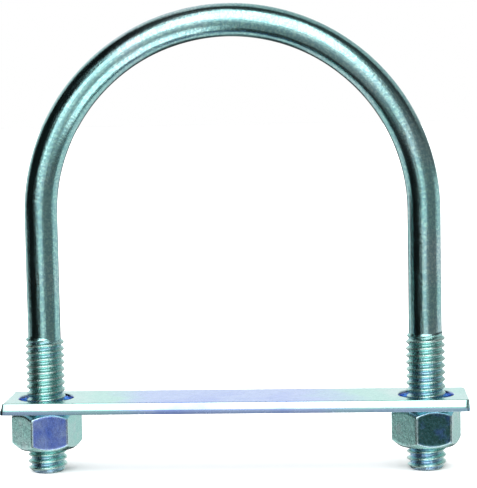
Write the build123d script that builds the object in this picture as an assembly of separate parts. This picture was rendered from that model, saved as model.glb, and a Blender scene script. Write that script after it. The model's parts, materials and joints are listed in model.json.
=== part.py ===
from build123d import *
import os
from math import radians, tan

# A round-bend U-bolt with a flat clamp plate and two hexagon nuts.
# The origin is on the axis of the tube that the bend goes round, midway between the legs.
# X runs from leg to leg, Y along the tube, and +Z towards the crown of the bend.
# Lengths are in millimetres and angles in degrees.

INCH = 25.4

# Thread: 5/16 in - 18, right-handed, rolled on both legs
THREAD_D = 5 / 16 * INCH
THREAD_PITCH = INCH / 18
THREAD_LENGTH = 27.8
TIP_CHAMFER = 1.0
RUNOUT_LENGTH = 0.75 * THREAD_PITCH

# Bent rod
ROD_D = 6.75
CLEAR_WIDTH = 71.4
LEG_DROP = 53.0

# Clamp plate: 5/8 x 3/32 in flat bar, 3 3/4 in long, with two punched holes
PLATE_LENGTH = 3.75 * INCH
PLATE_WIDTH = 5 / 8 * INCH
PLATE_THICKNESS = 3 / 32 * INCH
PLATE_TOP_Z = -37.6
PLATE_HOLE_D = 7 / 16 * INCH
PLATE_CORNER_R = 1.0
PLATE_EDGE_R = 0.35

# Hexagon nuts: 1/2 in across flats, chamfered on both faces
NUT_ACROSS_FLATS = 0.5 * INCH
NUT_HEIGHT = 8.0
NUT_FACE_D = 11.6
NUT_CHAMFER_ANGLE = 40
NUT_COUNTERSINK = 0.45
RUNNING_CLEARANCE = 0.05
NUT_TURNS = {"left_nut": 14, "right_nut": 12}

# Sizes that follow from the ones above
BEND_R = (CLEAR_WIDTH + ROD_D) / 2
THREAD_TOP_Z = THREAD_LENGTH - LEG_DROP
PLATE_UNDERSIDE_Z = PLATE_TOP_Z - PLATE_THICKNESS
NUT_BORE_R = THREAD_D / 2 + RUNNING_CLEARANCE
LEG_X = {"left_nut": -BEND_R, "right_nut": BEND_R}


def turned(*outline):
    """The solid that a closed outline of (radius, height) points makes about the Z axis."""
    points = [Vector(radius, 0, height) for radius, height in outline]
    face = make_face(Polyline(*points, close=True))
    return revolve(face, axis=Axis.Z)


def threaded_end():
    """One threaded leg end, tip at z = 0: the thread's envelope with its chamfer and runout."""
    crest_r = THREAD_D / 2
    return turned(
        (0, 0),
        (crest_r - TIP_CHAMFER, 0),
        (crest_r, TIP_CHAMFER),
        (crest_r, THREAD_LENGTH - RUNOUT_LENGTH),
        (ROD_D / 2, THREAD_LENGTH),
        (0, THREAD_LENGTH),
    )


def u_bolt():
    """The rod: two plain shanks joined by a half-circle bend, with a threaded end on each leg."""
    centreline = (
        Line((-BEND_R, 0, THREAD_TOP_Z), (-BEND_R, 0, 0))
        + ThreePointArc((-BEND_R, 0, 0), (0, 0, BEND_R), (BEND_R, 0, 0))
        + Line((BEND_R, 0, 0), (BEND_R, 0, THREAD_TOP_Z))
    )
    section = Pos(-BEND_R, 0, THREAD_TOP_Z) * Circle(ROD_D / 2)
    rod = sweep(section, path=centreline)
    for x in LEG_X.values():
        rod += Pos(x, 0, -LEG_DROP) * threaded_end()
    return rod


def clamp_plate():
    """The flat bar: square-cut ends, slightly rounded corners and edges, one hole for each leg."""
    bar = Box(PLATE_LENGTH, PLATE_WIDTH, PLATE_THICKNESS, align=(Align.CENTER, Align.CENTER, Align.MAX))
    bar = fillet(bar.edges().filter_by(Axis.Z), PLATE_CORNER_R)
    rims = bar.edges().group_by(Axis.Z)
    bar = fillet(rims[0] + rims[-1], PLATE_EDGE_R)
    for x in LEG_X.values():
        bar -= Pos(x, 0, 0) * Cylinder(PLATE_HOLE_D / 2, 3 * PLATE_THICKNESS)
    return Pos(0, 0, PLATE_TOP_Z) * bar


def hexagon_nut(turn):
    """One nut, upper face at z = 0 and turned about its bore from flats facing the Y axis."""
    prism = extrude(RegularPolygon(NUT_ACROSS_FLATS / 2, 6, major_radius=False, rotation=turn), -NUT_HEIGHT)
    reach = NUT_ACROSS_FLATS
    fall = (reach - NUT_FACE_D / 2) * tan(radians(NUT_CHAMFER_ANGLE))
    double_cone = turned(
        (0, 0),
        (NUT_FACE_D / 2, 0),
        (reach, -fall),
        (reach, fall - NUT_HEIGHT),
        (NUT_FACE_D / 2, -NUT_HEIGHT),
        (0, -NUT_HEIGHT),
    )
    mouth_r = NUT_BORE_R + NUT_COUNTERSINK
    bore = turned(
        (0, 0),
        (mouth_r, 0),
        (NUT_BORE_R, -NUT_COUNTERSINK),
        (NUT_BORE_R, NUT_COUNTERSINK - NUT_HEIGHT),
        (mouth_r, -NUT_HEIGHT),
        (0, -NUT_HEIGHT),
    )
    return (prism & double_cone) - bore


def nut_on_leg(name):
    """A nut screwed up its leg until its upper face meets the underside of the plate."""
    return Pos(LEG_X[name], 0, PLATE_UNDERSIDE_Z) * hexagon_nut(NUT_TURNS[name])


parts = {"u_bolt": u_bolt(), "clamp_plate": clamp_plate()}
for nut_name in NUT_TURNS:
    parts[nut_name] = nut_on_leg(nut_name)

os.makedirs("parts", exist_ok=True)
for part_name, solid in parts.items():
    export_step(solid, f"parts/{part_name}.step")
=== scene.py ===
"""Finished looks for a zinc plated U-bolt with its clamp plate and two hexagon nuts.

The rod, plate and nuts are worked out as surfaces in millimetres, in the frame's own place,
and each rides on its CAD body. The threads are true helices that mesh with the nuts' own.
"""

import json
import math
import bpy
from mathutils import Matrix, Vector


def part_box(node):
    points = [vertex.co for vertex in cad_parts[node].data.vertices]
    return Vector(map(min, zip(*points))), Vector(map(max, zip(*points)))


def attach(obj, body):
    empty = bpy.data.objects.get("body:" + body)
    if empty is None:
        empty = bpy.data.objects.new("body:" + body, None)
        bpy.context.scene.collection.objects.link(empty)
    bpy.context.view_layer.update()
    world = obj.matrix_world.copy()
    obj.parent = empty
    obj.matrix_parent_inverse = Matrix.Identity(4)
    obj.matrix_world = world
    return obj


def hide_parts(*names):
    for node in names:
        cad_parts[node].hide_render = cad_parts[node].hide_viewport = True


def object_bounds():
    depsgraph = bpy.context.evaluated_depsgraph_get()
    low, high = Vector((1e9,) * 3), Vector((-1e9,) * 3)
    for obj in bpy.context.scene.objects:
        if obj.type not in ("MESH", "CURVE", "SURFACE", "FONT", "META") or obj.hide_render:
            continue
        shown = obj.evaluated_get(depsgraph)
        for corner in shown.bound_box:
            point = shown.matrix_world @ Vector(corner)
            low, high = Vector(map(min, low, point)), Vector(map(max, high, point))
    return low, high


bl_info = {
    "name": "Plated U-Bolt",
    "version": (1, 0, 0),
    "blender": (4, 5, 0),
    "location": "View3D > Sidebar > U-Bolt",
    "description": "Builds a zinc plated U-bolt with a clamp plate, two nuts and a studio",
    "category": "Object",
}

import bpy
import numpy as np
from bpy.props import FloatProperty, FloatVectorProperty, IntProperty, PointerProperty
from mathutils import Matrix, Vector

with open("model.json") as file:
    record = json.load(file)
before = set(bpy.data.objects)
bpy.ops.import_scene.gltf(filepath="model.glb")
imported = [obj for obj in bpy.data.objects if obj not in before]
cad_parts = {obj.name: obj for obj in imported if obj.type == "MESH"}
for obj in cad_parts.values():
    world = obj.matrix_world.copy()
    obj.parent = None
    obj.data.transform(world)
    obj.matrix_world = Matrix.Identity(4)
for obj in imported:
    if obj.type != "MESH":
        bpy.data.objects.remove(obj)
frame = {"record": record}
CAD_CORNERS = [list(corner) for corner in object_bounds()]

MM = 0.001
TURN = 2 * math.pi
# Boxes of the CAD parts, in millimetres: the default sizes come from them.
ROD_LOW, _ = (np.array(corner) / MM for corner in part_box("u_bolt"))
PLATE_LOW, PLATE_HIGH = (np.array(corner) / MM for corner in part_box("clamp_plate"))
NUT_LOW, NUT_HIGH = (np.array(corner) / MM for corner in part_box("left_nut"))

THREAD_D = 5 / 16 * 25.4
THREAD_PITCH = 25.4 / 18
ROD_D = 6.75
MOUNTS = {mount["name"]: mount for mount in frame["record"]["mounts"]}
LEG_SPACING = MOUNTS["leg_shanks"]["dims"]["spacing_x_mm"]
BEND_R = LEG_SPACING / 2
LEG_DROP = float(-ROD_LOW[2])
NUT_NAMES = ("left_nut", "right_nut")


def length(name, text, millimetres):
    """A length property in metres whose default is given in millimetres."""
    look = {"unit": "LENGTH", "subtype": "DISTANCE", "precision": 5}
    return FloatProperty(name=name, description=text, default=millimetres * MM, **look)


def angle(name, text, degrees):
    """An angle property in radians whose default is given in degrees."""
    look = {"unit": "ROTATION", "subtype": "ANGLE"}
    return FloatProperty(name=name, description=text, default=math.radians(degrees), **look)


def colour(name, text, default):
    """A linear colour property without alpha."""
    look = {"size": 3, "min": 0.0, "max": 1.0, "subtype": "COLOR"}
    return FloatVectorProperty(name=name, description=text, default=default, **look)


def amount(name, text, default, low=0.0, high=1.0):
    """A plain number property between two ends."""
    return FloatProperty(name=name, description=text, default=default, min=low, max=high)


class RodSizes(bpy.types.PropertyGroup):
    """Sizes of the bent rod and its rolled threads."""

    rod_d: length("Rod diameter", "Diameter of the plain rod", ROD_D)
    bend_r: length("Bend radius", "Radius of the bend to the middle of the rod", BEND_R)
    leg_drop: length("Leg length", "From the middle of the bend down to the leg tips", LEG_DROP)
    thread_d: length("Thread diameter", "Major diameter of the thread", THREAD_D)
    pitch: length("Thread pitch", "Rise of the thread in one turn", THREAD_PITCH)
    thread_length: length("Thread length", "Threaded length of each leg", 27.8)
    tip_chamfer: length("Tip chamfer", "Chamfer at the end of each leg", 1.0)
    columns: IntProperty(name="Faces around", description="Faces round the rod", default=72, min=24, max=96)


class PlateSizes(bpy.types.PropertyGroup):
    """Sizes of the sheared and punched clamp plate."""

    hole_d: length("Hole diameter", "Diameter of the two punched holes", 7 / 16 * 25.4)
    corner_r: length("Corner radius", "Radius of the corners seen from above", 1.0)
    rollover: length("Edge rollover", "How far the shear drew in the long edges", 0.46)
    left_slant: length("Left end slant", "How far the left end leans out to the underside", 0.8)
    right_slant: length("Right end slant", "How far the right end leans out to the underside", 0.2)


class NutSizes(bpy.types.PropertyGroup):
    """Sizes of the two hexagon nuts."""

    across_flats: length("Across flats", "Width across the flats", 0.5 * 25.4)
    face_d: length("Face diameter", "Diameter of the round end faces", 11.6)
    chamfer: angle("Chamfer", "Slope of the chamfer on both ends", 40)
    corner_r: length("Corner radius", "Rounding of the six corners", 0.3)
    countersink: length("Countersink", "Width of the countersink at each end", 0.45)
    clearance: length("Thread clearance", "Radial play between nut and leg threads", 0.06)
    left_turn: angle("Left nut turn", "How far the left nut is turned from square", 14)
    right_turn: angle("Right nut turn", "How far the right nut is turned from square", 12)


class Finish(bpy.types.PropertyGroup):
    """Colours and polish of the zinc plating and its passivated film."""

    zinc: colour("Zinc", "Bare bright zinc, where the film is thinnest", (0.83, 0.89, 0.92))
    mint: colour("Mint film", "Pale green film", (0.46, 0.85, 0.78))
    lavender: colour("Lavender film", "Blue violet film", (0.48, 0.63, 1.0))
    # Deep blue comes in a little in the middle of the plate, as painted shade in the holes, and as painted
    # reflection on the left nut's front flat.
    deep_blue: colour("Deep blue film", "Thick film, in the holes and on one flat", (0.12, 0.22, 0.90))
    # Olive comes in chiefly as the painted dark reflection on the right nut's front flat.
    olive: colour("Olive film", "The thickest film, dark green", (0.03, 0.15, 0.07))
    rod_polish: amount("Rod roughness", "Roughness of the drawn rod", 0.14)
    plate_polish: amount("Plate roughness", "Roughness of the plate", 0.22)
    nut_polish: amount("Nut roughness", "Roughness of the nuts", 0.19)


class Studio(bpy.types.PropertyGroup):
    """Floor, light and camera of the studio."""

    floor_size: length("Floor size", "Side of the pale floor", 6000)
    floor_colour: colour("Floor colour", "Colour of the pale floor", (0.93, 0.94, 0.94))
    key_power: amount("Key light", "Strength of the wide light over the object", 6.0, 0, 20)
    camera_distance: length("Camera distance", "From the lens to the point looked at", 371.5)
    camera_azimuth: angle("Camera azimuth", "Turn of the camera to the right", 3.36)
    camera_elevation: angle("Camera elevation", "Camera height above the horizon", 5.04)
    camera_roll: angle("Camera roll", "Tilt of the camera about its own axis", -1.12)
    lens_mm: amount("Lens", "Focal length in millimetres on a 36 mm sensor", 134.4, 10, 300)


def in_mm(value):
    """A length property's value in millimetres."""
    return value / MM


def smooth_step(low, high, value):
    """Rises from 0 at low to 1 at high along 3t^2 - 2t^3, with t the share of the way."""
    share = np.clip((value - low) / (high - low), 0.0, 1.0)
    return share * share * (3 - 2 * share)


def grid_faces(rows, columns, wrap_rows=False, wrap_columns=False, start=0):
    """Quads between neighbours of a rows x columns grid of points numbered row by row."""
    row = np.arange(rows if wrap_rows else rows - 1)[:, None]
    column = np.arange(columns if wrap_columns else columns - 1)[None, :]
    next_row, next_column = (row + 1) % rows, (column + 1) % columns
    corners = [
        row * columns + column,
        row * columns + next_column,
        next_row * columns + next_column,
        next_row * columns + column,
    ]
    return np.stack([c.ravel() for c in corners], axis=1) + start


def signed_volume(points, faces):
    """Volume inside the faces, positive when they look outwards: sum of a.(b x c)/6."""
    first = points[faces[:, 0]]
    total = 0.0
    for second, third in ((1, 2), (2, 3)):
        b, c = points[faces[:, second]], points[faces[:, third]]
        total += float(np.einsum("ij,ij->i", first, np.cross(b, c)).sum()) / 6
    return total


def merge_points(points, faces, values):
    """Makes points at the same place one point, and numbers the faces' corners anew."""
    places = np.round(points, 4)
    _, first, back = np.unique(places, axis=0, return_index=True, return_inverse=True)
    faces = back.reshape(-1)[faces]
    values = {name: value[first] for name, value in values.items()}
    return points[first], faces, values


def make_piece(name, points, faces, values, sharp_degrees):
    """One mesh object from points in millimetres, quads and named values at the points.

    A quad with two corners at one point becomes a triangle, and one with fewer than three is dropped.
    """
    if signed_volume(points, faces) < 0:
        faces = faces[:, ::-1]
    differs = faces != np.roll(faces, -1, axis=1)
    corners = differs.sum(axis=1)
    faces, differs, corners = (part[corners > 2] for part in (faces, differs, corners))
    lists = np.split(faces[differs], np.cumsum(corners)[:-1])
    mesh = bpy.data.meshes.new(name)
    mesh.from_pydata(points * MM, [], lists)
    for label, value in values.items():
        kind, field = ("FLOAT_VECTOR", "vector") if value.ndim == 2 else ("FLOAT", "value")
        layer = mesh.attributes.new(label, kind, "POINT")
        layer.data.foreach_set(field, value.astype(np.float32).ravel())
    mesh.polygons.foreach_set("use_smooth", np.ones(len(mesh.polygons), bool))
    mesh.set_sharp_from_angle(angle=math.radians(sharp_degrees))
    if mesh.validate():
        raise RuntimeError(f"the mesh of {name} had faults")
    piece = bpy.data.objects.new(name, mesh)
    bpy.context.scene.collection.objects.link(piece)
    return piece


# ---------------------------------------------------------------- threads and bent rod


# Depth of the rolled thread as a share of its pitch: up to the first height over the tips,
# and from the second height on.
DEEP_THREAD = 0.50
SHALLOW_THREAD = 0.40
DEEP_UP_TO, SHALLOW_FROM = 5.0, 14.0
# The cut face of a leg tip: rows at these shares of its radius, and its hollow's depth.
TIP_ROWS = np.array([0.12, 0.35, 0.6, 0.8, 0.93])
TIP_HOLLOW = 0.16
# How far the rim of a tip is rounded, and over what length of the leg.
RIM_ROUNDING, RIM_LENGTH = 0.12, 0.25
# How far the run-out's end rises and falls round the leg, as a share of the pitch.
RUN_OUT_WAVE = 0.22
# Taken off the plain rod's radius, to leave room for its waves.
WAVE_ROOM = 0.012
# Rows in one turn of thread, on the plain leg and in half the bend, and how many pitches
# above the thread the close rows go on.
TURN_ROWS, LEG_ROWS, BEND_ROWS = 20, 16, 88
CLOSE_ROWS_PAST = 1.4


def thread_radius(height, turn, major_r, pitch, depth):
    """Radius of a right-hand thread at a height and an angle round its axis.

    The place in one pitch is height/pitch minus turn/full turn. From the crest's flat, an
    eighth of the pitch wide, the radius falls in a flank to a rounded root, the given
    depth below. The plating rounds crest and root: the flank is part straight line and
    part half a cosine wave. The second result is 1 on a crest and 0 at a root.
    """
    place = (height / pitch - turn / TURN) % 1.0
    down = np.clip((np.abs(place - 0.5) - 1 / 16) / (3 / 8), 0.0, 1.0)
    rounded = 0.5 * down + 0.5 * (0.5 - 0.5 * np.cos(math.pi * down))
    return major_r - depth * rounded, 1 - down


def bend_path(along, bend_r, leg_drop):
    """Middle line of the U at lengths from the left tip: up a leg, half a circle, down a leg.

    Gives the points, and at each the direction that looks away from the inside of the U.
    """
    arc = math.pi * bend_r
    theta = np.clip(1 - (along - leg_drop) / arc, 0.0, 1.0) * math.pi
    outward = np.stack([np.cos(theta), np.zeros_like(theta), np.sin(theta)], axis=1)
    below = np.minimum(np.minimum(along, 2 * leg_drop + arc - along) - leg_drop, 0.0)
    middle = outward * bend_r
    middle[:, 2] += below
    return middle, outward


def rod_rows(sizes):
    """Lengths along the rod, with how far each row shrinks towards the middle of a tip.

    Rows lie close in the threads, and further apart on the plain legs and in the bend.
    """
    pitch, drop = in_mm(sizes.pitch), in_mm(sizes.leg_drop)
    thread_end = in_mm(sizes.thread_length) + CLOSE_ROWS_PAST * pitch
    threads = np.arange(0.0, thread_end, pitch / TURN_ROWS)
    leg = np.linspace(thread_end, drop, LEG_ROWS, endpoint=False)
    half_arc = math.pi * in_mm(sizes.bend_r) / 2
    bend = np.linspace(drop, drop + half_arc, BEND_ROWS)
    half = np.concatenate([np.zeros(len(TIP_ROWS)), threads, leg, bend])
    shrink = np.concatenate([TIP_ROWS, np.ones(len(half) - len(TIP_ROWS))])
    total = 2 * (drop + half_arc)
    return np.concatenate([half, total - half[-2::-1]]), np.concatenate([shrink, shrink[-2::-1]])


def bent_rod(sizes):
    """The whole rod as one closed surface: circles carried along the bend path.

    The radius is the plain rod's, and in the threads the thread's. They pass into one
    another over the run-out, which starts a little higher on one side. At a tip the
    radius is never more than a cone's, and the last rows shrink to a slightly hollow face.
    """
    pitch, drop = in_mm(sizes.pitch), in_mm(sizes.leg_drop)
    bend_r, rod_r = in_mm(sizes.bend_r), in_mm(sizes.rod_d) / 2
    major_r, chamfer = in_mm(sizes.thread_d) / 2, in_mm(sizes.tip_chamfer)
    columns = sizes.columns
    along, shrink = rod_rows(sizes)
    middle, outward = bend_path(along, bend_r, drop)
    total = along[-1]
    from_tip = np.minimum(along, total - along)[:, None]
    alpha = (np.arange(columns) * TURN / columns)[None, :]
    side = np.where(along < total / 2, -1.0, 1.0)[:, None]
    world_turn = np.arctan2(np.sin(alpha), side * np.cos(alpha))

    shallow = smooth_step(DEEP_UP_TO, SHALLOW_FROM, from_tip)
    depth = pitch * (DEEP_THREAD + (SHALLOW_THREAD - DEEP_THREAD) * shallow)
    threaded_r, crest = thread_radius(from_tip - drop, world_turn, major_r, pitch, depth)
    uneven = RUN_OUT_WAVE * pitch * np.sin(world_turn + 0.8 * side)
    thread_top = in_mm(sizes.thread_length) + uneven
    fade = smooth_step(thread_top + 0.35 * pitch, thread_top - 0.4 * pitch, from_tip)
    ripple = 0.007 * np.sin(along[:, None] / 5.3 + 2 * alpha)
    ripple = ripple + 0.006 * np.sin(along[:, None] / 2.9 - alpha)
    plain_r = rod_r - WAVE_ROOM + ripple
    radius = plain_r + (threaded_r - plain_r) * fade
    rim = RIM_ROUNDING * smooth_step(0.0, RIM_LENGTH, from_tip)
    cone = major_r - chamfer + from_tip + rim - RIM_ROUNDING
    radius = np.minimum(radius, cone) * shrink[:, None]

    across = np.array([0.0, 1.0, 0.0])
    ring = np.cos(alpha)[..., None] * outward[:, None, :] + np.sin(alpha)[..., None] * across
    points = middle[:, None, :] + radius[..., None] * ring
    points[..., 2] += TIP_HOLLOW * (1 - shrink**2)[:, None]
    rows = len(along)
    poles = np.array([[side_x, 0, -drop + TIP_HOLLOW] for side_x in (-bend_r, bend_r)])
    faces = grid_faces(rows, columns, wrap_columns=True)
    column = np.arange(columns)
    after = (column + 1) % columns
    last_row = (rows - 1) * columns
    start_pole, end_pole = (np.full(columns, rows * columns + k) for k in (0, 1))
    start_cap = np.stack([after, column, start_pole, start_pole], axis=1)
    end_cap = np.stack([last_row + column, last_row + after, end_pole, end_pole], axis=1)

    unrolled = (rod_r * np.cos(alpha), rod_r * np.sin(alpha), along[:, None])
    place = np.stack([np.broadcast_to(part, radius.shape) for part in unrolled], axis=-1)
    place_poles = np.array([[0, 0, 0], [0, 0, total]])
    values = {
        "place": np.concatenate([place.reshape(-1, 3), place_poles]),
        "edge": np.concatenate([(crest * fade).ravel(), [0, 0]]),
        "threaded": np.concatenate([np.broadcast_to(fade, radius.shape).ravel(), [1, 1]]),
    }
    points = np.concatenate([points.reshape(-1, 3), poles])
    return points, np.concatenate([faces, start_cap, end_cap]), values


# ---------------------------------------------------------------- hexagon nuts


# Film thickness on each flat of a nut, anticlockwise from the flat that looks right and back,
# and on the ends and in the bore. The fifth flat looks to the front, and its thick value is a
# painted reflection: lavender blue on the left nut and dark green on the right.
LEFT_FLAT_FILM_AND_REFLECTION = np.array([0.22, 0.40, 0.30, 0.27, 0.73, 0.27])
RIGHT_FLAT_FILM_AND_REFLECTION = np.array([0.30, 0.24, 0.44, 0.30, 1.00, 0.26])
END_FILM = 0.30
# Where the rows of the end face start, and how far the edge between chamfer and flats is rounded.
FACE_START_R = 4.6
RIM_SOFT = 0.11
# Rows in one turn of the inside thread.
BORE_TURN_ROWS = 16
# Moves the grain along, so that the two nuts don't look alike.
GRAIN_SHIFT = np.array([1.7, 1, 1])


def hexagon_outline(across_flats, corner_r, per_flat=14, per_corner=6):
    """Outline of a hexagon with rounded corners: one flat and one corner arc, turned six times.

    The first flat looks 30 degrees round from +X, so that one flat looks along -Y.
    """
    apothem = across_flats / 2
    half = apothem * math.tan(math.radians(30)) - corner_r * math.tan(math.radians(30))
    flat_y = np.linspace(-half, half, per_flat, endpoint=False)
    flat = np.stack([np.full(per_flat, apothem), flat_y], axis=1)
    bend = np.linspace(0, math.radians(60), per_corner, endpoint=False)
    arc = np.stack([np.cos(bend), np.sin(bend)], axis=1) * corner_r + [apothem - corner_r, half]
    one = np.concatenate([flat, arc])
    turned = []
    for k in range(6):
        c, s = math.cos(math.radians(60 * k + 30)), math.sin(math.radians(60 * k + 30))
        turned.append(one @ np.array([[c, s], [-s, c]]))
    share = np.concatenate([np.abs(flat_y) / half, np.ones(per_corner)])
    return np.concatenate(turned), np.tile(share, 6), np.repeat(np.arange(6), len(one))


def hexagon_nut(sizes, rod, centre, turn, flat_film_and_reflection):
    """A nut as one closed surface: a loop of rows from the bore over both ends, round six flats.

    Outside, a point is on the hexagon's outline, and above it the end cone takes away what
    is higher than the cone: drop = (radius - face radius) x tan(chamfer). Inside, the radius
    is the shallow leg thread's plus the play, or the countersink's where that is wider.
    """
    height = float(NUT_HIGH[2] - NUT_LOW[2])
    pitch, major_r = in_mm(rod.pitch), in_mm(rod.thread_d) / 2
    face_r, slope = in_mm(sizes.face_d) / 2, math.tan(sizes.chamfer)
    outline, corner_share, flat_number = hexagon_outline(in_mm(sizes.across_flats), in_mm(sizes.corner_r))
    c, s = math.cos(turn), math.sin(turn)
    outline = outline @ np.array([[c, s], [-s, c]])
    reach = np.hypot(outline[:, 0], outline[:, 1])
    way = outline / reach[:, None]
    world_turn = np.arctan2(way[:, 1], way[:, 0])
    half = height / 2

    def ring(radius, z):
        flat = way * np.reshape(radius, (-1, 1))
        return np.concatenate([flat, np.broadcast_to(z, reach.shape)[:, None]], axis=1)

    def cone_height(radius):
        return half - np.maximum(radius - face_r, 0) * slope

    # Rows from the bore to the middle of the wall, each with how bright its edge is rubbed and painted with
    # a highlight.
    marked = []
    for share, mark in ((0.02, 0.0), (0.5, 0.0), (0.96, 0.25)):
        marked.append((ring(FACE_START_R + share * (face_r - FACE_START_R), half), mark))
    marked.append((ring(face_r + 0.12, cone_height(face_r + 0.12) - 0.01), 0.6))
    for share in (0.35, 0.7):
        radius = face_r + (reach - RIM_SOFT - face_r) * share
        marked.append((ring(radius, cone_height(radius)), 0.3))
    rim, wall_top = cone_height(reach), cone_height(reach) - 0.9 * RIM_SOFT
    marked.append((ring(reach - RIM_SOFT, cone_height(reach - RIM_SOFT)), 0.75))
    marked.append((ring(reach - 0.3 * RIM_SOFT, rim - 0.12 * RIM_SOFT), 1.0))
    first_wall = len(marked)
    marked.append((ring(reach, wall_top), 0.75))
    marked += [(ring(reach, wall_top * share), 0.0) for share in np.linspace(1, 0, 7)[1:]]
    upper, edge = (np.array(part) for part in zip(*marked))
    lower = upper[-2::-1] * [1, 1, -1]
    outside = np.concatenate([upper, lower])
    edges = np.concatenate([edge, edge[-2::-1]])

    steps = int(round(height / pitch * BORE_TURN_ROWS))
    z = np.linspace(-half, half, steps)[:, None]
    z_world = z + centre[2]
    thread, _ = thread_radius(z_world, world_turn[None, :], major_r, pitch, SHALLOW_THREAD * pitch)
    bore = thread + in_mm(sizes.clearance)
    sink_r = major_r + in_mm(sizes.clearance) + in_mm(sizes.countersink)
    bore = np.maximum(bore, sink_r - (half - np.abs(z)))
    inside = np.concatenate(
        [bore[..., None] * way[None], np.broadcast_to(z[..., None], bore.shape + (1,))], axis=-1
    )
    loop = np.concatenate([outside, inside])
    rows, columns = loop.shape[:2]
    faces = grid_faces(rows, columns, wrap_rows=True, wrap_columns=True)
    at_corner = smooth_step(0.86, 1.0, corner_share)[None, :] * np.ones((rows, 1))
    row = np.arange(rows)
    is_wall = (row >= first_wall) & (row < len(outside) - first_wall)
    edge_value = np.concatenate([edges, np.zeros(steps)])[:, None] * np.ones(columns)
    # The corners of the flats are marked too: rubbed bright and a painted highlight.
    edge_value = np.maximum(edge_value, at_corner * is_wall[:, None])
    # Each wall takes its flat's value, so the front flat carries its painted reflection.
    film = flat_film_and_reflection[flat_number][None, :] * is_wall[:, None] + END_FILM * (1 - is_wall[:, None])
    values = {
        "place": loop.reshape(-1, 3) + centre * GRAIN_SHIFT,
        "edge": edge_value.ravel(),
        "film": film.ravel(),
    }
    return loop.reshape(-1, 3) + centre, faces, values


# ---------------------------------------------------------------- clamp plate


# Edges of the sheared and punched plate, from top to underside. For each row: its depth as a
# share of the thickness, how far in it lies on a long edge as a share of the rollover, on an
# end as a share of the slant and by the end's own rounding in millimetres, how much wider the
# hole is there, and how bright the edge is rubbed and painted with a highlight.
EDGE_DEPTH = np.array([0, 0.02, 0.06, 0.12, 0.25, 0.42, 0.56, 0.6, 0.64, 0.94, 0.98, 1.0])
LONG_EDGE_IN = np.array([1.05, 0.80, 0.66, 0.58, 0.40, 0.20, 0.04, 0.0, 0.0, 0.0, 0.06, 0.22])
END_EDGE_IN = np.array([1.04, 0.98, 0.94, 0.88, 0.78, 0.62, 0.45, 0.42, 0.2, 0.03, 0.0, 0.0])
END_ROUNDING = np.array([0.26, 0.10, 0.03, 0, 0, 0, 0, 0, 0, 0, 0.03, 0.12])
HOLE_OUT = np.array([0.5, 0.3, 0.17, 0.09, 0.02, 0, 0, 0.01, 0.08, 0.14, 0.17, 0.22])
EDGE_MARK = np.array([0.35, 1.0, 0.6, 0.0, 0.0, 0.0, 0.0, 0.2, 0.0, 0.2, 0.9, 0.5])
# How far past the middle of its hole an end block reaches.
BLOCK_REACH = 9.0
# Points across the plate, along an end's long edge, on an end and in a corner's arc.
ACROSS, LONG_POINTS, END_POINTS, ARC_POINTS = 25, 25, 21, 7


def block_outline(low_x, split_x, half_w, corner_r):
    """Outline of one end of the plate from its inner line to its rounded end, counter-clockwise.

    Gives points, outward directions and whether a point is on the real edge of the plate.
    """
    inner, none = np.linspace(-half_w, half_w, ACROSS), np.zeros(ACROSS)
    parts = [(np.full(ACROSS, split_x), inner, none, none, none)]
    long_x, ones = np.linspace(split_x, low_x + corner_r, LONG_POINTS), np.ones(LONG_POINTS)
    parts.append((long_x, ones * half_w, 0 * ones, ones, ones))
    bend = np.linspace(math.pi / 2, math.pi, ARC_POINTS + 2)[1:-1]
    end_y, end = np.linspace(half_w - corner_r, corner_r - half_w, END_POINTS), np.ones(END_POINTS)
    for sign, turn in ((1, bend), (-1, TURN - bend[::-1])):
        x = low_x + corner_r + corner_r * np.cos(turn)
        y = sign * (half_w - corner_r) + corner_r * np.sin(turn)
        parts.append((x, y, np.cos(turn), np.sin(turn), np.ones(ARC_POINTS)))
        if sign > 0:
            parts.append((low_x * end, end_y, -end, 0 * end, end))
    parts.append((long_x[::-1], -half_w * ones, 0 * ones, -ones, ones))
    x, y, nx, ny, real = (np.concatenate(column) for column in zip(*parts))
    return np.stack([x, y], axis=1), np.stack([nx, ny], axis=1), real


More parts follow.
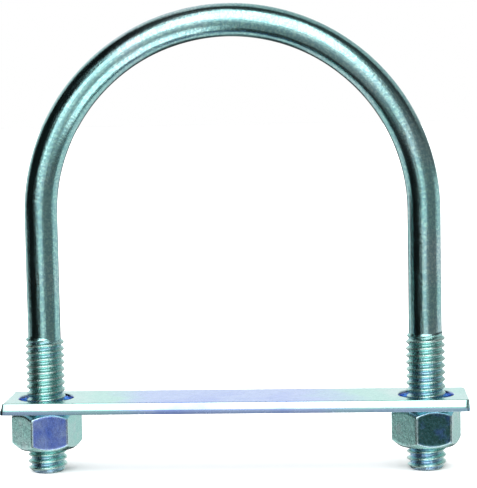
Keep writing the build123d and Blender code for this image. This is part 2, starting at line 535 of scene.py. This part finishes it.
def plate_block(sizes, length_mm, half_w, top, thick, split_x, slant):
    """One end of the plate as rows from the hole's wall to the edge and back underneath.

    Each column joins a point of the hole's circle to the outline point in the same
    direction. The hole's wall is wider at the top, where the punch drew it in, and at the
    underside, where it broke out.
    """
    hole_r = in_mm(sizes.hole_d) / 2
    hole_x = -BEND_R
    outline, out, real = block_outline(-length_mm / 2, split_x, half_w, in_mm(sizes.corner_r))
    away = outline - [hole_x, 0]
    turn = np.arctan2(away[:, 1], away[:, 0])
    way = np.stack([np.cos(turn), np.sin(turn)], axis=1)
    at_end = (out[:, 0] ** 2)[None, :, None]
    rollover = in_mm(sizes.rollover)
    end_in = (END_EDGE_IN * slant + END_ROUNDING)[:, None, None]
    inset = LONG_EDGE_IN[:, None, None] * rollover * (1 - at_end) + end_in * at_end
    edge = outline[None] - inset * out[None]
    squeeze = 1 - LONG_EDGE_IN[:, None, None] * rollover / half_w
    squeezed = outline[None] * np.concatenate([np.ones_like(squeeze), squeeze], axis=2)
    edge = np.where((real == 0)[None, :, None], squeezed, edge)
    depth = top - EDGE_DEPTH * thick
    hole = [hole_x, 0] + (hole_r + HOLE_OUT[:, None, None]) * way[None]

    def rows(points, z):
        z = np.broadcast_to(np.reshape(z, (-1, 1, 1)), points.shape[:2] + (1,))
        return np.concatenate([points, z], axis=2)

    share = np.linspace(0, 1, 11)[1:-1, None, None]
    face_top = hole[0] + (edge[0] - hole[0]) * share
    face_low = edge[-1] + (hole[-1] - edge[-1]) * share
    wall = rows(edge, depth)
    upper = np.concatenate([rows(hole[::-1], depth[::-1]), rows(face_top, top)])
    lower = np.concatenate([rows(face_low, top - thick), rows(hole[-1:], top - thick)])
    count = len(outline)
    all_rows = np.concatenate([upper, wall, lower])
    faces = grid_faces(len(all_rows), count, wrap_columns=True)
    first_wall, last_wall = len(upper), len(upper) + len(wall) - 1
    row_of = faces.min(axis=1) // count
    column_of = faces[:, 0] % count
    next_column = (column_of + 1) % count
    inner = (real[column_of] == 0) & ((real[next_column] == 0) | (out[next_column, 1] != 0))
    inner |= (real[next_column] == 0) & (out[column_of, 1] != 0)
    keep = ~(inner & (row_of >= first_wall) & (row_of < last_wall))
    mark = np.zeros((len(all_rows), count))
    mark[first_wall : last_wall + 1] = EDGE_MARK[:, None] * real[None, :]
    mark[: len(HOLE_OUT)] = EDGE_MARK[::-1][:, None]
    return all_rows, faces[keep], mark


def clamp_plate(sizes):
    """The whole plate: an end block with its hole at each end, and the strip between them."""
    low, high = PLATE_LOW, PLATE_HIGH
    length_mm, half_w = float(high[0] - low[0]), float(high[1] - low[1]) / 2
    top, thick = float(high[2]), float(high[2] - low[2])
    split_x = -BEND_R + BLOCK_REACH
    points, marks, all_faces = [], [], []
    start = 0
    for side, slant in ((1, sizes.left_slant), (-1, sizes.right_slant)):
        block, faces, mark = plate_block(sizes, length_mm, half_w, top, thick, split_x, in_mm(slant))
        points.append(block.reshape(-1, 3) * [side, 1, 1])
        marks.append(mark.ravel())
        all_faces.append(faces[:, ::side] + start)
        start += len(points[-1])

    rollover = in_mm(sizes.rollover)
    x = np.linspace(split_x, -split_x, 41)[:, None]
    y = np.linspace(-1, 1, ACROSS)[None, :]
    depth = top - EDGE_DEPTH * thick
    reach = half_w - LONG_EDGE_IN * rollover
    strips = (
        (y * reach[0], np.full((1, ACROSS), top), False, 0.0),
        (y * reach[-1], np.full((1, ACROSS), top - thick), True, 0.0),
        (-reach[None, :], depth[None, :], True, EDGE_MARK),
        (reach[None, :], depth[None, :], False, EDGE_MARK),
    )
    for across, z, flip, strip_mark in strips:
        shape = (len(x), across.shape[1])
        strip = np.stack([np.broadcast_to(part, shape) for part in (x, across, z)], axis=-1)
        quads = grid_faces(*shape, start=start)
        all_faces.append(quads[:, ::-1] if flip else quads)
        points.append(strip.reshape(-1, 3))
        marks.append(np.broadcast_to(strip_mark, shape).ravel())
        start += len(points[-1])
    points = np.concatenate(points)
    values = {"place": points.copy(), "edge": np.concatenate(marks)}
    return merge_points(points, np.concatenate(all_faces), values)


# ---------------------------------------------------------------- shader helpers


def add_node(tree, kind, inputs=None, **settings):
    """A shader node with its settings made and its inputs linked or given their values."""
    node = tree.nodes.new("ShaderNode" + kind)
    for name, value in settings.items():
        setattr(node, name, value)
    for name, value in (inputs or {}).items():
        if isinstance(value, bpy.types.NodeSocket):
            tree.links.new(value, node.inputs[name])
        else:
            node.inputs[name].default_value = value
    return node


def maths(tree, operation, *values, clamp=False):
    """The result of one sum on numbers or sockets."""
    inputs = dict(enumerate(values))
    return add_node(tree, "Math", inputs, operation=operation, use_clamp=clamp).outputs[0]


def times(tree, first, second, clamp=False):
    """The product of two numbers or sockets."""
    return maths(tree, "MULTIPLY", first, second, clamp=clamp)


def blend(tree, factor, first, second):
    """Two colours mixed by a factor."""
    inputs = {0: factor, 6: first, 7: second}
    return add_node(tree, "Mix", inputs, data_type="RGBA").outputs[2]


def stretch(tree, value, low, high, to_low=0.0, to_high=1.0, smooth=False):
    """A number moved from one range to another and kept inside it."""
    inputs = {"Value": value, "From Min": low, "From Max": high, "To Min": to_low, "To Max": to_high}
    kind = "SMOOTHSTEP" if smooth else "LINEAR"
    return add_node(tree, "MapRange", inputs, interpolation_type=kind).outputs[0]


def noise(tree, place, scale, detail, roughness=0.5):
    """Cloudy numbers about 0.5, as fine as the scale."""
    inputs = {"Vector": place, "Scale": scale, "Detail": detail, "Roughness": roughness}
    return add_node(tree, "TexNoise", inputs).outputs["Fac"]


def new_group(name, inputs, outputs):
    """An empty shader node group with named sockets, and its two end nodes."""
    group = bpy.data.node_groups.new(name, "ShaderNodeTree")
    for label, kind, default in inputs:
        socket = group.interface.new_socket(label, in_out="INPUT", socket_type=f"NodeSocket{kind}")
        if default is not None:
            socket.default_value = default
    for label, kind in outputs:
        group.interface.new_socket(label, in_out="OUTPUT", socket_type=f"NodeSocket{kind}")
    entry = group.nodes.new("NodeGroupInput").outputs
    leave = group.nodes.new("NodeGroupOutput").inputs
    return group, entry, leave


def place_group(tree, group, inputs):
    """Outputs of a group placed in a material with its own values."""
    return add_node(tree, "Group", inputs, node_tree=group).outputs


def drawn_lines_group():
    """Fine lines that the drawing die left along the metal, some deep and some faint."""
    group, entry, leave = new_group(
        "drawn_lines",
        [("Place", "Vector", None), ("Fineness", "Float", 2.0), ("Stretch", "Float", 0.05)],
        [("Lines", "Float")],
    )
    scale = add_node(group, "CombineXYZ", {0: 1.0, 1: 1.0, 2: entry["Stretch"]}).outputs[0]
    drawn = add_node(group, "VectorMath", {0: entry["Place"], 1: scale}, operation="MULTIPLY")
    lines = noise(group, drawn.outputs[0], entry["Fineness"], 5.0)
    group.links.new(stretch(group, lines, 0.3, 0.7), leave["Lines"])
    return group


def mottle_group():
    """Cloudy grain of plated metal: soft cells and fine pits laid over one another."""
    group, entry, leave = new_group(
        "plating_mottle",
        [("Place", "Vector", None), ("Scale", "Float", 1.0), ("Contrast", "Float", 1.0)],
        [("Mottle", "Float"), ("Specks", "Float")],
    )
    soft = {"Vector": entry["Place"], "Scale": entry["Scale"], "Smoothness": 0.6}
    cells = add_node(group, "TexVoronoi", soft, feature="SMOOTH_F1").outputs["Distance"]
    cloud = noise(group, entry["Place"], times(group, entry["Scale"], 1.7), 6.0, 0.62)
    both = maths(group, "ADD", times(group, cells, 0.45), cloud)
    centred = maths(group, "SUBTRACT", both, 0.68)
    gain = times(group, entry["Contrast"], 2.4)
    group.links.new(maths(group, "MULTIPLY_ADD", centred, gain, 0.5, clamp=True), leave["Mottle"])
    pits = noise(group, entry["Place"], times(group, entry["Scale"], 4.5), 2.0)
    group.links.new(stretch(group, pits, 0.62, 0.74), leave["Specks"])
    return group


# Film thickness at which each colour starts to come in over the bare zinc, and how much more
# it takes until the colour is full.
FILM_STARTS = {"Mint": 0.05, "Lavender": 0.35, "Deep Blue": 0.6, "Olive": 0.8}
FILM_FADE = 0.22


def film_group():
    """Colour of the passivated film from its thickness: zinc, mint, lavender, deep blue, olive."""
    numbers = [("Thickness", "Float", 0.3), ("Patches", "Float", 0.1), ("Patch Scale", "Float", 0.1)]
    colours = [(name, "Color", None) for name in ("Zinc", *FILM_STARTS)]
    group, entry, leave = new_group(
        "passivated_film", [("Place", "Vector", None), *numbers, *colours], [("Colour", "Color")]
    )
    cloud = noise(group, entry["Place"], entry["Patch Scale"], 3.0)
    swing = times(group, maths(group, "SUBTRACT", cloud, 0.5), entry["Patches"])
    thickness = maths(group, "MULTIPLY_ADD", swing, 4.0, entry["Thickness"], clamp=True)
    mixed = entry["Zinc"]
    for name, low in FILM_STARTS.items():
        mixed = blend(group, stretch(group, thickness, low, low + FILM_FADE), mixed, entry[name])
    group.links.new(mixed, leave["Colour"])
    return group


def worn_and_highlit_edge_group():
    """Where an edge or a thread crest is rubbed bright and painted with a highlight, broken up so that it
    isn't a clean line.
    """
    group, entry, leave = new_group(
        "worn_and_highlit_edges",
        [("Place", "Vector", None), ("Edge", "Float", 0.0), ("Amount", "Float", 0.5)],
        [("Mask", "Float")],
    )
    torn = stretch(group, noise(group, entry["Place"], 1.9, 4.0), 0.35, 0.62, 0.35, 1.0)
    high = stretch(group, entry["Edge"], 0.45, 0.95)
    mask = times(group, times(group, high, torn), entry["Amount"], clamp=True)
    group.links.new(mask, leave["Mask"])
    return group


def shared_groups():
    """The four effects, each built once: lines, mottle and film of the plating, and edges rubbed bright
    with a painted highlight.
    """
    makers = {
        "drawn_lines": drawn_lines_group,
        "plating_mottle": mottle_group,
        "passivated_film": film_group,
        "worn_and_highlit_edges": worn_and_highlit_edge_group,
    }
    return {name: bpy.data.node_groups.get(name) or maker() for name, maker in makers.items()}


def start_material(name):
    """An empty metal material, its Principled shader and its place attribute."""
    material = bpy.data.materials.new(name)
    material.use_nodes = True
    tree = material.node_tree
    tree.nodes.clear()
    leave = tree.nodes.new("ShaderNodeOutputMaterial")
    metal = add_node(tree, "BsdfPrincipled", {"Metallic": 1.0})
    tree.links.new(metal.outputs[0], leave.inputs["Surface"])
    place = add_node(tree, "Attribute", attribute_name="place").outputs["Vector"]
    return material, tree, metal, place


def attribute(tree, name):
    """The number that a piece carries at its points under this name."""
    return add_node(tree, "Attribute", attribute_name=name).outputs["Fac"]


def film_inputs(finish, place, thickness, patches, scale):
    """Values for the passivated film group."""
    shades = {"Zinc": finish.zinc, "Mint": finish.mint, "Lavender": finish.lavender}
    shades.update({"Deep Blue": finish.deep_blue, "Olive": finish.olive})
    inputs = {name: (*shade, 1.0) for name, shade in shades.items()}
    inputs.update({"Place": place, "Thickness": thickness, "Patches": patches, "Patch Scale": scale})
    return inputs


def join_surface(tree, metal, colour_socket, roughness, height, strength, depth):
    """Links colour, roughness and a bump into a metal shader."""
    tree.links.new(colour_socket, metal.inputs["Base Color"])
    tree.links.new(roughness, metal.inputs["Roughness"])
    bump = add_node(tree, "Bump", {"Strength": strength, "Distance": depth, "Height": height})
    tree.links.new(bump.outputs[0], metal.inputs["Normal"])


# Colours that the grain, the lines and the rubbed edges with their painted highlights lay over the film.
ROD_LINES = (0.26, 0.42, 0.56, 1)
ROD_CLOUD = (0.12, 0.34, 0.46, 1)
ROD_SPECKS = (0.96, 0.99, 1.0, 1)
ROD_CREST_WORN_AND_HIGHLIT = (0.74, 0.96, 0.90, 1)
PLATE_CLOUD = (0.45, 0.62, 0.80, 1)
PLATE_EDGE_WORN_AND_HIGHLIT = (0.93, 0.96, 0.97, 1)
NUT_CLOUD = (0.24, 0.40, 0.58, 1)
NUT_SPECKS = (0.88, 0.93, 0.98, 1)
NUT_EDGE_WORN_AND_HIGHLIT = (0.70, 0.92, 0.92, 1)
# Depths of the bump in metres.
FINE_BUMP = 0.00003
NUT_BUMP = 0.00005
# Film thickness on the plate: in the middle, at the ends, on the sheared lower edge, in a hole. The hole's
# thick deep blue film is painted shade.
MIDDLE_FILM, PLATE_END_FILM, SHEARED_FILM, HOLE_PAINTED_SHADE = 0.62, 0.20, 0.44, 0.64


def rod_material(finish):
    """Bright drawn rod: lengthwise lines, fine specks, crests in the threads rubbed bright with painted
    highlights, and painted shade as lavender film in the thread roots.
    """
    groups = shared_groups()
    material, tree, metal, place = start_material("plated_rod")
    drawn = groups["drawn_lines"]
    lines = place_group(tree, drawn, {"Place": place, "Fineness": 3.2, "Stretch": 0.045})["Lines"]
    streaks = place_group(tree, drawn, {"Place": place, "Fineness": 1.3, "Stretch": 0.16})["Lines"]
    grain = place_group(tree, groups["plating_mottle"], {"Place": place, "Scale": 1.5, "Contrast": 1.6})
    edge = attribute(tree, "edge")
    threaded = attribute(tree, "threaded")
    # Thicker, lavender film in the thread roots is painted shade.
    root = times(tree, threaded, maths(tree, "SUBTRACT", 1.0, edge))
    thickness = maths(tree, "MULTIPLY_ADD", root, 0.18, 0.25)
    film = place_group(tree, groups["passivated_film"], film_inputs(finish, place, thickness, 0.14, 0.07))
    # Crests rubbed bright, partly a painted highlight.
    bright = place_group(tree, groups["worn_and_highlit_edges"], {"Place": place, "Edge": edge, "Amount": 0.85})["Mask"]
    toned = blend(tree, times(tree, lines, 0.2), film["Colour"], ROD_LINES)
    cloudy = times(tree, grain["Mottle"], stretch(tree, threaded, 0.0, 1.0, 0.42, 0.08))
    toned = blend(tree, cloudy, toned, ROD_CLOUD)
    toned = blend(tree, times(tree, grain["Specks"], 0.6), toned, ROD_SPECKS)
    toned = blend(tree, bright, toned, ROD_CREST_WORN_AND_HIGHLIT)
    rough = stretch(tree, lines, 0.0, 1.0, finish.rod_polish - 0.05, finish.rod_polish + 0.08)
    rough = maths(tree, "ADD", rough, times(tree, grain["Mottle"], 0.05))
    rough = maths(tree, "MULTIPLY_ADD", threaded, 0.09, rough)
    both = maths(tree, "ADD", times(tree, lines, 0.6), times(tree, streaks, 0.8))
    less = stretch(tree, threaded, 0.0, 1.0, 1.0, 0.25)
    grainy = stretch(tree, threaded, 0.0, 1.0, 0.4, 1.2)
    height = maths(tree, "MULTIPLY_ADD", both, less, times(tree, grain["Mottle"], grainy))
    join_surface(tree, metal, toned, rough, height, 0.5, FINE_BUMP)
    return material


def plate_material(finish):
    """Rolled flat bar: a film that turns from mint at the ends to lavender in the middle, painted shade as
    deep blue film in the holes, and edges rubbed bright with painted highlights.
    """
    groups = shared_groups()
    material, tree, metal, place = start_material("plated_plate")
    parts = add_node(tree, "SeparateXYZ", {0: place}).outputs
    to_end = maths(tree, "ABSOLUTE", parts[0])
    thickness = stretch(tree, to_end, 8.0, 38.0, MIDDLE_FILM, PLATE_END_FILM, smooth=True)
    top, thick = float(PLATE_HIGH[2]), float(PLATE_HIGH[2] - PLATE_LOW[2])
    sheared = stretch(tree, parts[2], top - 0.5 * thick, top - 0.7 * thick, 0.0, SHEARED_FILM)
    thickness = maths(tree, "MAXIMUM", thickness, sheared)
    off_x = maths(tree, "SUBTRACT", to_end, BEND_R)
    squares = maths(tree, "MULTIPLY_ADD", off_x, off_x, times(tree, parts[1], parts[1]))
    hole_r = in_mm(bpy.context.scene.ubolt_plate.hole_d) / 2
    # The deep blue film on the hole walls is painted shade.
    punched = stretch(tree, maths(tree, "SQRT", squares), hole_r + 0.3, hole_r + 0.12, 0.0, HOLE_PAINTED_SHADE)
    thickness = maths(tree, "MAXIMUM", thickness, punched)
    grain = place_group(tree, groups["plating_mottle"], {"Place": place, "Scale": 0.8, "Contrast": 0.6})
    turned = add_node(tree, "CombineXYZ", {0: parts[1], 1: parts[2], 2: parts[0]}).outputs[0]
    drawn = groups["drawn_lines"]
    lines = place_group(tree, drawn, {"Place": turned, "Fineness": 2.2, "Stretch": 0.05})["Lines"]
    film = place_group(tree, groups["passivated_film"], film_inputs(finish, place, thickness, 0.10, 0.08))
    edge = attribute(tree, "edge")
    # Edges rubbed bright, partly a painted highlight.
    bright = place_group(tree, groups["worn_and_highlit_edges"], {"Place": place, "Edge": edge, "Amount": 0.5})["Mask"]
    toned = blend(tree, times(tree, grain["Mottle"], 0.14), film["Colour"], PLATE_CLOUD)
    toned = blend(tree, bright, toned, PLATE_EDGE_WORN_AND_HIGHLIT)
    rough = stretch(tree, grain["Mottle"], 0.0, 1.0, finish.plate_polish - 0.05, finish.plate_polish + 0.09)
    height = maths(tree, "MULTIPLY_ADD", lines, 0.5, times(tree, grain["Mottle"], 0.6))
    join_surface(tree, metal, toned, rough, height, 0.25, FINE_BUMP)
    return material


def nut_material(finish):
    """Cold formed nut: strongly mottled flats, each with its own film, the front flat's a painted
    reflection, and bright broken edges, rubbed and painted as highlights.
    """
    groups = shared_groups()
    material, tree, metal, place = start_material("plated_nut")
    grain = place_group(tree, groups["plating_mottle"], {"Place": place, "Scale": 1.6, "Contrast": 1.2})
    broad = place_group(tree, groups["plating_mottle"], {"Place": place, "Scale": 0.42, "Contrast": 1.2})
    # The film comes from each flat's value; on the front flats it is a painted reflection.
    inputs = film_inputs(finish, place, attribute(tree, "film"), 0.10, 0.35)
    film = place_group(tree, groups["passivated_film"], inputs)
    edge = attribute(tree, "edge")
    # Edges and corners rubbed bright, partly a painted highlight.
    bright = place_group(tree, groups["worn_and_highlit_edges"], {"Place": place, "Edge": edge, "Amount": 0.95})["Mask"]
    toned = blend(tree, times(tree, grain["Mottle"], 0.18), film["Colour"], NUT_CLOUD)
    toned = blend(tree, times(tree, grain["Specks"], 0.32), toned, NUT_SPECKS)
    toned = blend(tree, bright, toned, NUT_EDGE_WORN_AND_HIGHLIT)
    rough = stretch(tree, grain["Mottle"], 0.0, 1.0, finish.nut_polish - 0.04, finish.nut_polish + 0.1)
    fine = times(tree, grain["Mottle"], 0.6)
    height = maths(tree, "MULTIPLY_ADD", broad["Mottle"], 0.7, fine)
    join_surface(tree, metal, toned, rough, height, 0.28, NUT_BUMP)
    return material


# ---------------------------------------------------------------- studio


# The studio that the bright metal mirrors: neutral soft boxes and dark areas round the
# front axis. Each is given by how far it is from straight ahead, in degrees, by the slope it
# lies at, with 0 to the right and 90 above, both as from, to and softness, and by its
# brightness. Each lies over the ones before it.
SOFT_BOXES = (
    ((-5, 44, 10), (-165, -25, 10), 0.46),
    ((30, 80, 8), (-135, -80, 9), 0.26),
    ((34, 90, 12), (30, 64, 10), 0.10),
    ((8, 108, 8), (-16, 22, 6), 0.20),
    ((76, 112, 12), (20, 120, 12), 0.035),
    ((106, 150, 4), (24, 130, 12), 0.50),
    ((17, 118, 6), (116, 210, 8), 0.006),
    ((62, 88, 7), (-160, -90, 9), 0.03),
    ((92, 220, 5), (-171, 5, 1.5), 0.76),
    ((118, 220, 6), (90, 262, 12), 0.78),
    ((150, 220, 8), (-10, 190, 12), 1.0),
    ((38, 76, 5), (-88, -36, 5), 1.9),
    ((-9, 15, 4), (0, 360, 1), 0.85),
    ((4, 31, 5), (120, 180, 8), 2.0),
    ((10, 32, 6), (14, 52, 9), 0.8),
    ((8, 50, 7), (46, 130, 10), 2.8),
    ((8, 66, 6), (60, 104, 9), 2.8),
)
# Dark flags behind the object: turn and height, both as from, to and softness.
BACK_FLAGS = (
    ((156, 186, 6), (-58, -4, 5)),
    ((-174, -146, 6), (-58, -2, 5)),
)
FLAG_GREY = 0.06
ROOM_GREY = 0.14
# The wide light: where it comes from and how wide it is, in degrees.
KEY_FROM, KEY_WIDTH = (-0.3, -0.4, 1.0), 110
# The point that the camera looks at.
LOOK_AT = Vector((1.35, 0.0, -6.39)) * MM


def make_world():
    """Neutral studio: white to the eye, and soft boxes and dark flags in reflections."""
    world = bpy.data.worlds.new("studio")
    world.use_nodes = True
    tree = world.node_tree
    tree.nodes.clear()
    leave = tree.nodes.new("ShaderNodeOutputWorld")
    way = add_node(tree, "TexCoord").outputs["Generated"]
    parts = add_node(tree, "SeparateXYZ", {0: way}).outputs
    back = times(tree, parts[1], -1.0)
    degrees = 180 / math.pi
    from_ahead = times(tree, maths(tree, "ARCCOSINE", back), degrees)
    slope = times(tree, maths(tree, "ARCTAN2", parts[2], parts[0]), degrees)

    def within(value, span):
        low, high, soft = span
        rise = stretch(tree, value, low - soft, low + soft, smooth=True)
        fall = stretch(tree, value, high - soft, high + soft, 1.0, 0.0, smooth=True)
        return times(tree, rise, fall)

    def within_turn(value, span):
        low, high, soft = span
        middle, reach = (low + high) / 2, (high - low) / 2
        off = maths(tree, "WRAP", maths(tree, "SUBTRACT", value, middle), 180.0, -180.0)
        off = maths(tree, "ABSOLUTE", off)
        return stretch(tree, off, reach - soft, reach + soft, 1.0, 0.0, smooth=True)

    def lay_over(below, mask, grey):
        return blend(tree, mask, below, (grey, grey, grey, 1.0))

    mixed = (ROOM_GREY, ROOM_GREY, ROOM_GREY, 1.0)
    for outward, slopes, brightness in SOFT_BOXES:
        mask = times(tree, within(from_ahead, outward), within_turn(slope, slopes))
        mixed = lay_over(mixed, mask, brightness)
    azimuth = times(tree, maths(tree, "ARCTAN2", parts[0], back), degrees)
    height = times(tree, maths(tree, "ARCSINE", parts[2]), degrees)
    for turns, heights in BACK_FLAGS:
        mask = times(tree, within_turn(azimuth, turns), within(height, heights))
        mixed = lay_over(mixed, mask, FLAG_GREY)
    mirrored = add_node(tree, "Background", {"Color": mixed, "Strength": 1.0})
    seen = add_node(tree, "Background", {"Color": (1, 1, 1, 1), "Strength": 1.0})
    camera_ray = add_node(tree, "LightPath").outputs["Is Camera Ray"]
    shaders = {0: camera_ray, 1: mirrored.outputs[0], 2: seen.outputs[0]}
    tree.links.new(add_node(tree, "MixShader", shaders).outputs[0], leave.inputs["Surface"])
    bpy.context.scene.world = world


def make_floor(studio):
    """A flat pale floor under the leg tips."""
    half = studio.floor_size / 2
    z = CAD_CORNERS[0][2]
    x, y = np.meshgrid(np.linspace(-half, half, 3), np.linspace(-half, half, 3))
    points = np.stack([x.ravel(), y.ravel(), np.full(9, z)], axis=1)
    mesh = bpy.data.meshes.new("floor")
    mesh.from_pydata(points.tolist(), [], grid_faces(3, 3).tolist())
    floor = bpy.data.objects.new("floor", mesh)
    bpy.context.scene.collection.objects.link(floor)
    material = bpy.data.materials.new("pale_floor")
    material.use_nodes = True
    shader = material.node_tree.nodes["Principled BSDF"]
    shader.inputs["Base Color"].default_value = (*studio.floor_colour, 1.0)
    shader.inputs["Roughness"].default_value = 0.9
    shader.inputs["Specular IOR Level"].default_value = 0.1
    mesh.materials.append(material)
    floor.visible_glossy = False


def make_light(name, place, width_degrees, strength):
    """A wide soft light from far away that lights the floor evenly and isn't seen itself."""
    data = bpy.data.lights.new(name, "SUN")
    data.angle = math.radians(width_degrees)
    data.energy = strength
    light = bpy.data.objects.new(name, data)
    light.rotation_mode = "QUATERNION"
    light.rotation_quaternion = (-Vector(place)).to_track_quat("-Z", "Y")
    light.visible_glossy = False
    bpy.context.scene.collection.objects.link(light)


def make_camera(studio):
    """A long lens in front, a little above and to the right, tilted slightly about its axis."""
    azimuth, elevation = studio.camera_azimuth, studio.camera_elevation
    level = math.cos(elevation)
    ahead = Vector((-math.sin(azimuth) * level, math.cos(azimuth) * level, -math.sin(elevation)))
    right = Vector((math.cos(azimuth), math.sin(azimuth), 0))
    up = right.cross(ahead)
    c, s = math.cos(studio.camera_roll), math.sin(studio.camera_roll)
    right, up = c * right + s * up, c * up - s * right
    data = bpy.data.cameras.new("camera")
    data.sensor_width = 36
    data.lens = studio.lens_mm
    data.clip_start, data.clip_end = 0.01, 20
    camera = bpy.data.objects.new("camera", data)
    turn = Matrix((right, up, -ahead)).transposed().to_4x4()
    camera.matrix_world = Matrix.Translation(LOOK_AT - ahead * studio.camera_distance) @ turn
    bpy.context.scene.collection.objects.link(camera)
    bpy.context.scene.camera = camera


# ---------------------------------------------------------------- operators


class UBOLT_OT_rod(bpy.types.Operator):
    """Builds the bent rod with its two threaded legs"""

    bl_idname = "ubolt.rod"
    bl_label = "Bent rod"

    def execute(self, context):
        points, faces, values = bent_rod(context.scene.ubolt_rod)
        piece = make_piece("bent_rod", points, faces, values, 50)
        piece.data.materials.append(rod_material(context.scene.ubolt_finish))
        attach(piece, "u_bolt")
        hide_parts("u_bolt")
        return {"FINISHED"}


class UBOLT_OT_plate(bpy.types.Operator):
    """Builds the clamp plate with its punched holes"""

    bl_idname = "ubolt.plate"
    bl_label = "Clamp plate"

    def execute(self, context):
        points, faces, values = clamp_plate(context.scene.ubolt_plate)
        piece = make_piece("plate", points, faces, values, 40)
        piece.data.materials.append(plate_material(context.scene.ubolt_finish))
        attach(piece, "clamp_plate")
        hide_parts("clamp_plate")
        return {"FINISHED"}


class UBOLT_OT_nuts(bpy.types.Operator):
    """Builds the two hexagon nuts with their inside threads"""

    bl_idname = "ubolt.nuts"
    bl_label = "Nuts"

    def execute(self, context):
        sizes = context.scene.ubolt_nut
        sides = ((sizes.left_turn, LEFT_FLAT_FILM_AND_REFLECTION), (sizes.right_turn, RIGHT_FLAT_FILM_AND_REFLECTION))
        material = nut_material(context.scene.ubolt_finish)
        for name, (turn, flat_film_and_reflection) in zip(NUT_NAMES, sides):
            low, high = (np.array(corner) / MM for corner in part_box(name))
            centre = np.array([math.copysign(BEND_R, low[0]), 0.0, (low[2] + high[2]) / 2])
            points, faces, values = hexagon_nut(sizes, context.scene.ubolt_rod, centre, turn, flat_film_and_reflection)
            piece = make_piece(name.replace("_nut", "_hexagon_nut"), points, faces, values, 40)
            piece.data.materials.append(material)
            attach(piece, name)
            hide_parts(name)
        return {"FINISHED"}


class UBOLT_OT_stage(bpy.types.Operator):
    """Builds the floor, the surroundings, the light and the camera"""

    bl_idname = "ubolt.stage"
    bl_label = "Studio"

    def execute(self, context):
        studio = context.scene.ubolt_studio
        make_world()
        make_floor(studio)
        make_light("key", KEY_FROM, KEY_WIDTH, studio.key_power)
        make_camera(studio)
        context.scene.view_settings.view_transform = "Standard"
        return {"FINISHED"}


class UBOLT_PT_panel(bpy.types.Panel):
    """Lists the sizes, finishes and steps"""

    bl_label = "Plated U-Bolt"
    bl_idname = "UBOLT_PT_panel"
    bl_space_type = "VIEW_3D"
    bl_region_type = "UI"
    bl_category = "U-Bolt"

    def draw(self, context):
        for holder, _ in HOLDERS:
            settings = getattr(context.scene, holder)
            box = self.layout.box()
            for name in settings.__annotations__:
                box.prop(settings, name)
        for step in STEPS:
            self.layout.operator(step.bl_idname)


HOLDERS = (
    ("ubolt_rod", RodSizes),
    ("ubolt_plate", PlateSizes),
    ("ubolt_nut", NutSizes),
    ("ubolt_finish", Finish),
    ("ubolt_studio", Studio),
)
STEPS = (UBOLT_OT_rod, UBOLT_OT_plate, UBOLT_OT_nuts, UBOLT_OT_stage)
CLASSES = tuple(group for _, group in HOLDERS) + STEPS + (UBOLT_PT_panel,)


def register():
    """Adds the classes and the scene's settings."""
    for cls in CLASSES:
        bpy.utils.register_class(cls)
    for holder, group in HOLDERS:
        setattr(bpy.types.Scene, holder, PointerProperty(type=group))


def unregister():
    """Takes the settings and the classes away again."""
    for holder, _ in HOLDERS:
        delattr(bpy.types.Scene, holder)
    for cls in reversed(CLASSES):
        bpy.utils.unregister_class(cls)


def main():
    register()
    bpy.ops.ubolt.rod()
    bpy.ops.ubolt.plate()
    bpy.ops.ubolt.nuts()
    bpy.ops.ubolt.stage()


if __name__ == "__main__":
    main()
